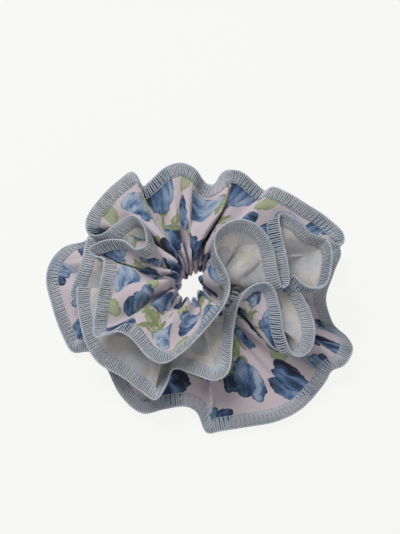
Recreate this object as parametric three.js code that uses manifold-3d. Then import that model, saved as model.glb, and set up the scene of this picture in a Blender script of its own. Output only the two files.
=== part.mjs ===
// A large ruffle scrunchie. Two long cloth strips lie wrong sides together, gathered round a flat elastic
// that runs in a channel between two rows of stitching. Each strip opens from the channel into an upper and a
// lower ruffle, so four ruffles fan out: inner top, outer top, outer bottom and inner bottom. Their edges are
// overlocked. The ring is cut into a near half (y < 0) and a far half (y > 0) that slide apart as the elastic
// stretches.
// Units are millimetres, +Z is up, and the origin is on the table under the middle of the hole.

import * as THREE from "three";
import { ParametricGeometry } from "three/addons/geometries/ParametricGeometry.js";
import { mergeVertices } from "three/addons/utils/BufferGeometryUtils.js";
import Module from "manifold-3d";

const wasm = await Module();
wasm.setup();

// The hole and the channel
const HOLE_R = 10; // radius of the hole that the hair goes through, at its narrowest
const CHANNEL_Z = 26; // height of the elastic's middle above the table
const INNER_WALL = 7; // gathered thickness of the inner strip between the hole and the elastic
const OUTER_WALL = 4.6; // gathered thickness of the outer strip outside the elastic
const WALL_LIP = 5; // how far the channel's walls rise above and below each row of stitching
const THROAT_FLARE = 10; // how far the hole widens on its way down to the table
const LIP_ROUND = 4; // how far the hole widens on its way up to the inner top ruffle

// The elastic and its sewn join
const ELASTIC_WIDTH = 8;
const ELASTIC_T = 1;
const JOIN_LENGTH = 12; // overlap of the elastic's two ends
const JOIN_T = 0.8;
const JOIN_WIDTH = 6.6;

// Threads
const STITCH_SIZE = 0.8; // side of the section of a row of channel stitching
const SEAM_R = 0.35; // radius of the line of stitches that closes a strip into a loop
const SEAM_SIDES = 6;
const OVERLOCK_W = 1.6; // how far the overlocking stands out from a ruffle's edge
const OVERLOCK_T = 1.8;

// The ruffles, at their rims. Thickness is that of the gathered layer, waves included.
const INNER_BOTTOM = { rimR: 71, thickness: 5 };
const OUTER_BOTTOM = { rimR: 75.5, thickness: 10 };
const OUTER_TOP = { rimR: 65, thickness: 12 };
const INNER_TOP = { rimR: 57, thickness: 20 };
const RUFFLE_SPREAD_R = 58; // radius where each ruffle has reached its full height
const MOUTH_GAP = 2; // open gap between the outer strip's two ruffles
const LAYER_GAP = 1; // gap between one strip's ruffle and the other's

// The folds that run round the ring
const FOLDS = 10;
const FOLD_RISE = 0.13; // share by which a fold lifts or lowers the stack at the rims
const RIM_SCALLOP = 3; // how far a fold moves a rim in or out
const STEPS_PER_FOLD = 6;
const SLOPE_STEPS = 4; // stations from the channel to a rim

// Clearances
const FIT_GAP = 0.3; // between pieces that touch
const HALF_RING_FACETS = 18; // facets of each half of the elastic and of the channel stitching
const JOIN_FACETS = 4;

const PRINTED_COTTON = { color: "#d6c8ce", roughness: 0.85, metalness: 0 };
const OVERLOCK_THREAD = { color: "#b8c6d2", roughness: 0.7, metalness: 0 };
const SEWING_THREAD = { color: "#cfc6cb", roughness: 0.7, metalness: 0 };
const ELASTIC_WEB = { color: "#efece8", roughness: 0.6, metalness: 0 };

// Places that follow from the sizes
const WALL_FACE_R = HOLE_R + INNER_WALL; // inner strip's face towards the elastic
const ELASTIC_R = WALL_FACE_R + FIT_GAP;
const JOIN_R = ELASTIC_R + ELASTIC_T + FIT_GAP;
const CASING_R = JOIN_R + JOIN_T + FIT_GAP; // outer strip's face towards the elastic
const APEX_R = CASING_R + OUTER_WALL; // where the outer strip's two ruffles part
const STITCH_OFFSET = ELASTIC_WIDTH / 2 + FIT_GAP + STITCH_SIZE / 2;
const WALL_HALF = STITCH_OFFSET + STITCH_SIZE / 2 + WALL_LIP;
const STITCH_R = (WALL_FACE_R + CASING_R - STITCH_SIZE) / 2;

// Mean heights of the surfaces at the rims, from the table up
const INNER_BOTTOM_TOP = INNER_BOTTOM.thickness;
const OUTER_BOTTOM_LOW = INNER_BOTTOM_TOP + LAYER_GAP;
const OUTER_BOTTOM_TOP = OUTER_BOTTOM_LOW + OUTER_BOTTOM.thickness;
const OUTER_TOP_LOW = OUTER_BOTTOM_TOP + MOUTH_GAP;
const OUTER_TOP_TOP = OUTER_TOP_LOW + OUTER_TOP.thickness;
const INNER_TOP_LOW = OUTER_TOP_TOP + LAYER_GAP;
const INNER_TOP_TOP = INNER_TOP_LOW + INNER_TOP.thickness;

/** Share of the way from the channel to where the ruffles reach their full height. */
function spread(r) {
  return THREE.MathUtils.clamp((r - WALL_FACE_R) / (RUFFLE_SPREAD_R - WALL_FACE_R), 0, 1);
}

/** Height of a surface that leaves the channel at height `start` and has height `rim` at the rims. */
function surfaceZ(start, rim, r, angle) {
  const s = spread(r);
  const rise = 1 + FOLD_RISE * s * Math.sin(FOLDS * angle);
  return THREE.MathUtils.lerp(start, rim, s) * rise;
}

/** Radius of a ruffle's rim at an angle: its folds push it out and pull it in. */
function rimRadius(ruffle, angle) {
  return ruffle.rimR + RIM_SCALLOP * Math.cos(FOLDS * angle);
}

// A surface is [height at the channel, mean height at the rims].
const SURFACES = {
  innerBottomTop: [CHANNEL_Z - WALL_HALF, INNER_BOTTOM_TOP],
  outerBottomLow: [CHANNEL_Z - WALL_HALF + LAYER_GAP, OUTER_BOTTOM_LOW],
  outerBottomTop: [CHANNEL_Z - MOUTH_GAP / 2, OUTER_BOTTOM_TOP],
  outerTopLow: [CHANNEL_Z + MOUTH_GAP / 2, OUTER_TOP_LOW],
  outerTopTop: [CHANNEL_Z + WALL_HALF - LAYER_GAP, OUTER_TOP_TOP],
  innerTopLow: [CHANNEL_Z + WALL_HALF, INNER_TOP_LOW],
  innerTopTop: [CHANNEL_Z + WALL_HALF + LIP_ROUND, INNER_TOP_TOP],
};

/** Section points along a surface from radius `from` to radius `to`. */
function slope(surface, from, to, angle) {
  const points = [];
  for (let i = 0; i <= SLOPE_STEPS; i++) {
    const r = THREE.MathUtils.lerp(from, to, i / SLOPE_STEPS);
    points.push([r, surfaceZ(surface[0], surface[1], r, angle)]);
  }
  return points;
}

/** Section of the inner strip at an angle: top ruffle, wall round the hole, bottom ruffle on the table. */
function innerStripSection(angle) {
  const topRim = rimRadius(INNER_TOP, angle);
  const bottomRim = rimRadius(INNER_BOTTOM, angle);
  return [
    ...slope(SURFACES.innerTopLow, WALL_FACE_R, topRim, angle),
    ...slope(SURFACES.innerTopTop, topRim, WALL_FACE_R, angle),
    [HOLE_R + LIP_ROUND / 2, CHANNEL_Z + WALL_HALF],
    [HOLE_R, CHANNEL_Z + ELASTIC_WIDTH / 2],
    [HOLE_R, CHANNEL_Z - ELASTIC_WIDTH / 2],
    [HOLE_R + THROAT_FLARE / 2, (CHANNEL_Z - WALL_HALF) / 2],
    [HOLE_R + THROAT_FLARE, 0],
    [bottomRim, 0],
    ...slope(SURFACES.innerBottomTop, bottomRim, WALL_FACE_R, angle),
  ];
}

/** Section of the outer strip at an angle: top ruffle, wall outside the elastic, bottom ruffle. */
function outerStripSection(angle) {
  const topRim = rimRadius(OUTER_TOP, angle);
  const bottomRim = rimRadius(OUTER_BOTTOM, angle);
  return [
    ...slope(SURFACES.outerBottomLow, CASING_R, bottomRim, angle),
    ...slope(SURFACES.outerBottomTop, bottomRim, APEX_R, angle),
    ...slope(SURFACES.outerTopLow, APEX_R, topRim, angle),
    ...slope(SURFACES.outerTopTop, topRim, CASING_R, angle),
  ];
}

/** Section of the overlocking at a ruffle's rim, midway between the ruffle's lower and upper surfaces. */
function overlockSection(ruffle, low, top, angle) {
  const rim = rimRadius(ruffle, angle) + FIT_GAP;
  const middle = (surfaceZ(low[0], low[1], rim, angle) + surfaceZ(top[0], top[1], rim, angle)) / 2;
  return [
    [rim, middle - OVERLOCK_T / 2],
    [rim + OVERLOCK_W, middle - OVERLOCK_T / 2],
    [rim + OVERLOCK_W, middle + OVERLOCK_T / 2],
    [rim, middle + OVERLOCK_T / 2],
  ];
}

/** A manifold solid from a closed three.js geometry. */
function toSolid(geometry) {
  geometry.deleteAttribute("normal");
  geometry.deleteAttribute("uv");
  const merged = mergeVertices(geometry, 1e-4);
  const mesh = new wasm.Mesh({
    numProp: 3,
    vertProperties: merged.attributes.position.array,
    triVerts: new Uint32Array(merged.index.array),
  });
  return new wasm.Manifold(mesh);
}

/** A three.js geometry from a manifold solid. */
function toGeometry(solid) {
  const mesh = solid.getMesh();
  const geometry = new THREE.BufferGeometry();
  geometry.setAttribute("position", new THREE.BufferAttribute(mesh.vertProperties, 3));
  geometry.setIndex(new THREE.BufferAttribute(mesh.triVerts, 1));
  geometry.computeVertexNormals();
  return geometry;
}

/** The closed ring that a section sweeps as it goes round the axis, changing with the angle. */
function ring(section) {
  const steps = FOLDS * STEPS_PER_FOLD;
  const count = section(0).length;
  const point = (u, v, target) => {
    const angle = ((Math.round(u * steps) % steps) / steps) * 2 * Math.PI;
    const [r, z] = section(angle)[Math.round(v * count) % count];
    target.set(r * Math.cos(angle), r * Math.sin(angle), z);
  };
  return toSolid(new ParametricGeometry(point, steps, count));
}

/** The half of a ring on one side of the plane y = 0: side is 1 for the far half, -1 for the near half. */
function halfOf(solid, side) {
  const reach = 4 * OUTER_BOTTOM.rimR;
  const block = new THREE.BoxGeometry(reach, reach, reach);
  block.translate(0, (side * (reach + FIT_GAP)) / 2, 0);
  return solid.intersect(toSolid(block));
}

/** A flat band bent round the axis, from one angle to another, standing on height z. */
function arcBand(innerR, thickness, z, height, from, to, facets) {
  const shape = new THREE.Shape();
  shape.absarc(0, 0, innerR + thickness, from, to, false);
  shape.absarc(0, 0, innerR, to, from, true);
  const band = new THREE.ExtrudeGeometry(shape, {
    depth: height,
    bevelEnabled: false,
    curveSegments: facets,
  });
  return band.translate(0, 0, z);
}

/** Half of a flat band round the axis: side is 1 for the far half, -1 for the near half. */
function halfBand(innerR, thickness, z, height, side) {
  const trim = FIT_GAP / 2 / innerR;
  const start = side > 0 ? 0 : Math.PI;
  const end = start + Math.PI;
  return arcBand(innerR, thickness, z, height, start + trim, end - trim, HALF_RING_FACETS);
}

/** A line of stitches that follows a path of points. */
function threadLine(points) {
  const shape = new THREE.Shape();
  shape.absarc(0, 0, SEAM_R, 0, 2 * Math.PI, false);
  return new THREE.ExtrudeGeometry(shape, {
    extrudePath: new THREE.CatmullRomCurve3(points),
    steps: points.length - 1,
    curveSegments: SEAM_SIDES / 2,
    bevelEnabled: false,
  });
}

/** Points over a surface at one angle, from the radius `from` to the radius `to`, lifted by `lift`. */
function acrossSurface(surface, from, to, angle, lift) {
  return slope(surface, from, to, angle).map(
    ([r, z]) => new THREE.Vector3(r * Math.cos(angle), r * Math.sin(angle), z + lift),
  );
}

const scrunchie = new THREE.Group();
scrunchie.name = "ruffle_scrunchie";

/** Adds one named piece to the scrunchie. */
function addPiece(name, geometry, finish) {
  const piece = new THREE.Mesh(geometry, new THREE.MeshStandardMaterial(finish));
  piece.name = name;
  scrunchie.add(piece);
}

/** Adds the near and the far half of a ring. */
function addRing(name, section, finish) {
  const whole = ring(section);
  addPiece(`${name}_near`, toGeometry(halfOf(whole, -1)), finish);
  addPiece(`${name}_far`, toGeometry(halfOf(whole, 1)), finish);
}

/** Adds the near and the far half of a flat band round the axis. */
function addBand(name, innerR, thickness, z, height, finish) {
  addPiece(`${name}_near`, halfBand(innerR, thickness, z, height, -1), finish);
  addPiece(`${name}_far`, halfBand(innerR, thickness, z, height, 1), finish);
}

addRing("inner_strip", innerStripSection, PRINTED_COTTON);
addRing("outer_strip", outerStripSection, PRINTED_COTTON);

addBand("elastic", ELASTIC_R, ELASTIC_T, CHANNEL_Z - ELASTIC_WIDTH / 2, ELASTIC_WIDTH, ELASTIC_WEB);
for (const [level, side] of [
  ["upper", 1],
  ["lower", -1],
]) {
  const z = CHANNEL_Z + side * STITCH_OFFSET - STITCH_SIZE / 2;
  addBand(`channel_stitch_${level}`, STITCH_R, STITCH_SIZE, z, STITCH_SIZE, SEWING_THREAD);
}

// The elastic's ends overlap at the back, where a zigzag holds them.
const joinTurn = JOIN_LENGTH / JOIN_R;
addPiece(
  "elastic_join_zigzag",
  arcBand(
    JOIN_R,
    JOIN_T,
    CHANNEL_Z - JOIN_WIDTH / 2,
    JOIN_WIDTH,
    Math.PI / 2 - joinTurn / 2,
    Math.PI / 2 + joinTurn / 2,
    JOIN_FACETS,
  ),
  SEWING_THREAD,
);

const EDGES = [
  ["overlock_inner_top", INNER_TOP, SURFACES.innerTopLow, SURFACES.innerTopTop],
  ["overlock_outer_top", OUTER_TOP, SURFACES.outerTopLow, SURFACES.outerTopTop],
  ["overlock_outer_bottom", OUTER_BOTTOM, SURFACES.outerBottomLow, SURFACES.outerBottomTop],
  ["overlock_inner_bottom", INNER_BOTTOM, [0, 0], SURFACES.innerBottomTop],
];
for (const [name, ruffle, low, top] of EDGES) {
  addRing(name, (angle) => overlockSection(ruffle, low, top, angle), OVERLOCK_THREAD);
}

// Each strip is closed into a loop by one short seam, which runs from the channel to the rim, at the back.
const fold = (2 * Math.PI) / FOLDS;
const innerSeamAngle = fold;
const outerSeamAngle = 4 * fold;
const seamLift = FIT_GAP + SEAM_R;
addPiece(
  "inner_strip_seam",
  threadLine(
    acrossSurface(
      SURFACES.innerTopTop,
      WALL_FACE_R,
      rimRadius(INNER_TOP, innerSeamAngle),
      innerSeamAngle,
      seamLift,
    ),
  ),
  SEWING_THREAD,
);
addPiece(
  "outer_strip_seam",
  threadLine(
    acrossSurface(
      SURFACES.outerTopLow,
      APEX_R + MOUTH_GAP,
      rimRadius(OUTER_TOP, outerSeamAngle),
      outerSeamAngle,
      -MOUTH_GAP / 2,
    ),
  ),
  SEWING_THREAD,
);

export default scrunchie;
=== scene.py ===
"""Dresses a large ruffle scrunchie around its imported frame.

Two gathered cloth strips lie wrong sides together round a flat elastic. Each strip is one surface: an upper
ruffle, the wall round the channel and a lower ruffle. The four ruffle edges are overlocked with real thread.
Everything is in metres, +Z is up, and the origin is on the table under the middle of the hole.
"""

from __future__ import annotations

import logging
import math
from dataclasses import dataclass, field
from enum import Enum
from typing import ClassVar

import bpy
import numpy as np
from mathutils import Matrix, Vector


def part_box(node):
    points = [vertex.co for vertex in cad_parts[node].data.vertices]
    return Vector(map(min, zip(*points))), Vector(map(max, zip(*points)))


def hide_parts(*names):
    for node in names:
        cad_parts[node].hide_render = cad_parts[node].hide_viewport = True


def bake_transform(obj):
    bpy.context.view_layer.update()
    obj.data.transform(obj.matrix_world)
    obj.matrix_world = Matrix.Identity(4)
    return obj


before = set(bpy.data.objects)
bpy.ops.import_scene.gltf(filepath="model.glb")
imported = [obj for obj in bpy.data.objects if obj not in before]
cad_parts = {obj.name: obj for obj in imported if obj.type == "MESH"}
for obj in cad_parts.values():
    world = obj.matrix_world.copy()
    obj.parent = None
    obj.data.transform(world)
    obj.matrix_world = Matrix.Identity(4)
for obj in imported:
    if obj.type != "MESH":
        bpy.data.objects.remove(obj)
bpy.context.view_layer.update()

LOG = logging.getLogger("scrunchie")
MM = 0.001
UV_MAP = "Cloth"
TURN = 2 * math.pi
UP = np.array([0.0, 0.0, 1.0])

Points = list[tuple[float, float, float]]


# ---------------------------------------------------------------------------------------------------------
# Curves and grids
# ---------------------------------------------------------------------------------------------------------


def unit(vectors: np.ndarray) -> np.ndarray:
    """Each vector divided by its length, with the last axis as x, y, z."""
    length = np.linalg.norm(vectors, axis=-1, keepdims=True)
    return vectors / np.maximum(length, 1e-12)


def smooth_loop(values: np.ndarray, width: float) -> np.ndarray:
    """Blurs a closed row: each value becomes the Gaussian-weighted mean of its neighbours round the loop.

    Args:
        values: the row, along the first axis.
        width: the Gaussian's standard deviation, as a share of the loop.

    Returns:
        The blurred row, of the same shape.
    """
    count = values.shape[0]
    turns = np.fft.rfftfreq(count, 1.0 / count)
    keep = np.exp(-0.5 * (TURN * turns * width) ** 2)
    spectrum = np.fft.rfft(values, axis=0)
    spectrum *= keep.reshape(-1, *([1] * (values.ndim - 1)))
    return np.fft.irfft(spectrum, count, axis=0)


def smoothstep(x: np.ndarray) -> np.ndarray:
    """0 below 0, 1 above 1, and three x squared less two x cubed between."""
    x = np.clip(x, 0, 1)
    return x * x * (3 - 2 * x)


def closed_curve(points: np.ndarray, count: int) -> np.ndarray:
    """A smooth closed curve through points, at equal steps of its length.

    Each stretch between two points is a Catmull-Rom cubic whose knots are spaced by the square root of the
    distance between the points, so it doesn't overshoot at tight folds. It is worked out at 24 places.

    Args:
        points: the points, in order round the loop.
        count: how many samples to return.

    Returns:
        The samples, as a count by 3 array.
    """
    before, start, end, after = (np.roll(points, k, axis=0) for k in (1, 0, -1, -2))
    t1 = np.sqrt(np.linalg.norm(start - before, axis=1))[:, None, None]
    t2 = t1 + np.sqrt(np.linalg.norm(end - start, axis=1))[:, None, None]
    t3 = t2 + np.sqrt(np.linalg.norm(after - end, axis=1))[:, None, None]
    t = t1 + (t2 - t1) * np.linspace(0, 1, 24, endpoint=False)[None, :, None]
    p0, p1, p2, p3 = (p[:, None, :] for p in (before, start, end, after))
    a1 = p0 + (p1 - p0) * t / t1
    a2 = p1 + (p2 - p1) * (t - t1) / (t2 - t1)
    a3 = p2 + (p3 - p2) * (t - t2) / (t3 - t2)
    b1 = a1 + (a2 - a1) * t / t2
    b2 = a2 + (a3 - a2) * (t - t1) / (t3 - t1)
    fine = (b1 + (b2 - b1) * (t - t1) / (t2 - t1)).reshape(-1, 3)
    return at_lengths(fine, np.arange(count) / count)


def loop_lengths(loop: np.ndarray) -> np.ndarray:
    """Distance along a closed row of points, from its first point to each point and back to the first."""
    steps = np.linalg.norm(np.roll(loop, -1, axis=0) - loop, axis=1)
    return np.concatenate([[0.0], np.cumsum(steps)])


def open_lengths(rows: np.ndarray) -> np.ndarray:
    """Distance along open rows of points from each row's first one. The last two axes are point and xyz."""
    steps = np.linalg.norm(np.diff(rows, axis=-2), axis=-1)
    return np.concatenate([np.zeros((*steps.shape[:-1], 1)), np.cumsum(steps, axis=-1)], axis=-1)


def at_lengths(loop: np.ndarray, share: np.ndarray) -> np.ndarray:
    """Points of a closed row at shares of its length, from 0 to 1, by straight lines between its points."""
    along = loop_lengths(loop)
    closed = np.concatenate([loop, loop[:1]])
    return np.stack([np.interp(share * along[-1], along, closed[:, k]) for k in range(3)], axis=1)


def across_columns(grid: np.ndarray, where: np.ndarray) -> np.ndarray:
    """Columns of a grid that is closed along its first axis, by straight lines between its own columns.

    Args:
        grid: the grid, with its columns first.
        where: the places of the wanted columns, in turns of that axis.

    Returns:
        The columns at those places.
    """
    count = grid.shape[0]
    place = np.mod(where, 1.0) * count
    left = np.floor(place).astype(int) % count
    share = (place - np.floor(place)).reshape(-1, *([1] * (grid.ndim - 1)))
    return grid[left] * (1 - share) + grid[(left + 1) % count] * share


def loop_slope(loop: np.ndarray, reach: int = 1) -> np.ndarray:
    """Unit directions along a closed row, from the point so many steps before to the one as many after."""
    return unit(np.roll(loop, -reach, axis=0) - np.roll(loop, reach, axis=0))


def three_rounds(values: np.ndarray, round_trip: float) -> np.ndarray:
    """A closed row three times over, one round lower, as it is, and one round higher."""
    return np.concatenate([values - round_trip, values, values + round_trip])


def surface_normals(grid: np.ndarray) -> np.ndarray:
    """Unit normals of a grid that is closed along its first axis: the cross product of its two slopes."""
    along = np.roll(grid, -1, axis=0) - np.roll(grid, 1, axis=0)
    across = np.gradient(grid, axis=1)
    return unit(np.cross(along, across))


# ---------------------------------------------------------------------------------------------------------
# Meshes
# ---------------------------------------------------------------------------------------------------------


def linked(name: str, data: bpy.types.ID) -> bpy.types.Object:
    """A new object for a mesh, a lamp or a camera, linked to the scene."""
    made = bpy.data.objects.new(name, data)
    bpy.context.scene.collection.objects.link(made)
    return made


@dataclass
class Quads:
    """Vertices and four-sided faces of one mesh, with four UV pairs and a material index for each face."""

    vertices: np.ndarray
    faces: np.ndarray
    uv: np.ndarray
    material: np.ndarray

    @staticmethod
    def joined(parts: list[Quads]) -> Quads:
        """One set of faces from several, with each part's vertices after the last part's."""
        starts = np.cumsum([0] + [len(part.vertices) for part in parts[:-1]])
        return Quads(
            np.concatenate([part.vertices for part in parts]),
            np.concatenate([part.faces + start for part, start in zip(parts, starts)]),
            np.concatenate([part.uv for part in parts]),
            np.concatenate([part.material for part in parts]),
        )

    def to_object(self, name: str, materials: list[bpy.types.Material]) -> bpy.types.Object:
        """Makes the Blender object, smooth shaded, at the origin.

        Args:
            name: the piece's name.
            materials: its material slots, in the order of the material indices.

        Returns:
            The new object, linked to the scene.
        """
        mesh = bpy.data.meshes.new(name)
        count = len(self.faces)
        mesh.vertices.add(len(self.vertices))
        mesh.vertices.foreach_set("co", self.vertices.astype(np.float32).ravel())
        mesh.loops.add(4 * count)
        mesh.loops.foreach_set("vertex_index", self.faces.astype(np.int32).ravel())
        mesh.polygons.add(count)
        mesh.polygons.foreach_set("loop_start", np.arange(0, 4 * count, 4, dtype=np.int32))
        mesh.polygons.foreach_set("material_index", self.material.astype(np.int32))
        mesh.polygons.foreach_set("use_smooth", np.ones(count, dtype=bool))
        layer = mesh.uv_layers.new(name=UV_MAP)
        layer.data.foreach_set("uv", self.uv.astype(np.float32).ravel())
        for material in materials:
            mesh.materials.append(material)
        mesh.update(calc_edges=True)
        mesh.validate()
        return linked(name, mesh)


def grid_faces(columns: int, rows: int, close_columns: bool, close_rows: bool) -> np.ndarray:
    """Faces of a grid of vertices that are numbered row by row within each column.

    Args:
        columns: how many columns of vertices there are.
        rows: how many rows.
        close_columns: whether the last column joins the first.
        close_rows: whether the last row joins the first.

    Returns:
        The numbers of each face's corners, faces by 4.
    """
    i = np.arange(columns if close_columns else columns - 1)[:, None]
    j = np.arange(rows if close_rows else rows - 1)[None, :]
    right = (i + 1) % columns
    up = (j + 1) % rows
    corners = [i * rows + j, right * rows + j, right * rows + up, i * rows + up]
    return np.stack(np.broadcast_arrays(*corners), axis=-1).reshape(-1, 4)


def grid_uv(u: np.ndarray, v: np.ndarray) -> np.ndarray:
    """The UV pairs of the faces that grid_faces numbers.

    Args:
        u: the columns' places, one more than there are faces that way. It may have axes before that one.
        v: the rows' places, likewise one more than there are faces that way.

    Returns:
        Faces by 4 by 2.
    """
    uv = np.empty((*u.shape[:-1], u.shape[-1] - 1, len(v) - 1, 4, 2))
    uv[..., 0, 0] = uv[..., 3, 0] = u[..., :-1, None]
    uv[..., 1, 0] = uv[..., 2, 0] = u[..., 1:, None]
    uv[..., 0, 1] = uv[..., 1, 1] = v[:-1]
    uv[..., 2, 1] = uv[..., 3, 1] = v[1:]
    return uv.reshape(-1, 4, 2)


def cloth_shell(
    grid: np.ndarray, normals: np.ndarray, thickness: float, across: np.ndarray, length: float
) -> Quads:
    """A sheet of cloth with a thickness: the grid moved half of it to each side, closed along both edges.

    Args:
        grid: the sheet's middle, columns by rows by 3, closed along the columns.
        normals: its unit normals, which point to the right side.
        thickness: the cloth's thickness.
        across: each row's place across the flat strip, for the UV map.
        length: the flat strip's length, for the UV map.

    Returns:
        Faces with material 0 on the right side and on the two cut edges, and 1 on the wrong side.
    """
    columns, rows, _ = grid.shape
    half = normals * thickness / 2
    vertices = np.concatenate([(grid + half).reshape(-1, 3), (grid - half).reshape(-1, 3)])
    faces = grid_faces(columns, rows, True, False)
    low = columns * rows
    wrong = faces[:, ::-1] + low
    i = np.arange(columns)
    right = (i + 1) % columns
    first = np.stack([right * rows, i * rows, i * rows + low, right * rows + low], axis=1)
    last = np.stack([i * rows, right * rows, right * rows + low, i * rows + low], axis=1) + rows - 1
    u = np.arange(columns + 1) / columns * length
    uv = grid_uv(u, across)
    rim = np.zeros((columns, 4, 2))
    rim[:, :, 0] = u[:-1, None]
    rims = [rim + [0, across[0]], rim + [0, across[-1]]]
    return Quads(
        vertices,
        np.concatenate([faces, wrong, first, last]),
        np.concatenate([uv, uv[:, ::-1], *rims]),
        np.concatenate([np.zeros(len(faces)), np.ones(len(wrong)), np.zeros(2 * columns)]),
    )


def thread_tubes(
    paths: np.ndarray, sideways: np.ndarray, radius: np.ndarray | float, sides: int, closed: bool
) -> Quads:
    """Round threads carried along paths, all of the same number of points.

    At each point of a path the ring of vertices lies in the plane of the sideways vector and its cross
    product with the path's slope.

    Args:
        paths: threads by points by 3.
        sideways: a vector across each path, threads by points by 3 or one that broadcasts to it.
        radius: the thread's radius, one number or threads by points.
        sides: how many faces go round a thread. It is 4 where the ends are to be capped.
        closed: whether each path is a loop. An open one gets a cap at each end.

    Returns:
        The faces, with UVs of the length along the thread and the share of a turn round it.
    """
    threads, points, _ = paths.shape
    if closed:
        slope = np.roll(paths, -1, axis=1) - np.roll(paths, 1, axis=1)
    else:
        slope = np.gradient(paths, axis=1)
    slope = unit(slope)
    side = np.broadcast_to(sideways, paths.shape)
    side = unit(side - (side * slope).sum(-1, keepdims=True) * slope)
    lift = np.cross(slope, side)
    turn = np.arange(sides) / sides * TURN
    size = np.broadcast_to(radius, (threads, points))[:, :, None, None]
    ring = side[:, :, None] * np.cos(turn)[:, None] + lift[:, :, None] * np.sin(turn)[:, None]
    vertices = (paths[:, :, None] + ring * size).reshape(-1, 3)
    one = grid_faces(points, sides, closed, True)
    starts = np.arange(threads)[:, None, None] * points * sides
    faces = (one[None] + starts).reshape(-1, 4)
    along = open_lengths(np.concatenate([paths, paths[:, :1]], axis=1) if closed else paths)
    uv = grid_uv(along, np.arange(sides + 1) / sides)
    if not closed:
        near = (np.arange(4) + starts[:, :, 0]).reshape(-1, 4)
        far = near + (points - 1) * sides
        faces = np.concatenate([faces, near, far[:, ::-1]])
        uv = np.concatenate([uv, np.zeros((2 * threads, 4, 2))])
    return Quads(vertices, faces[:, ::-1], uv[:, ::-1], np.zeros(len(faces)))


# ---------------------------------------------------------------------------------------------------------
# Ruffles
# ---------------------------------------------------------------------------------------------------------


class Facing(Enum):
    """Which way a ruffle leaves the channel."""

    UPPER = 1
    LOWER = -1


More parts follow.
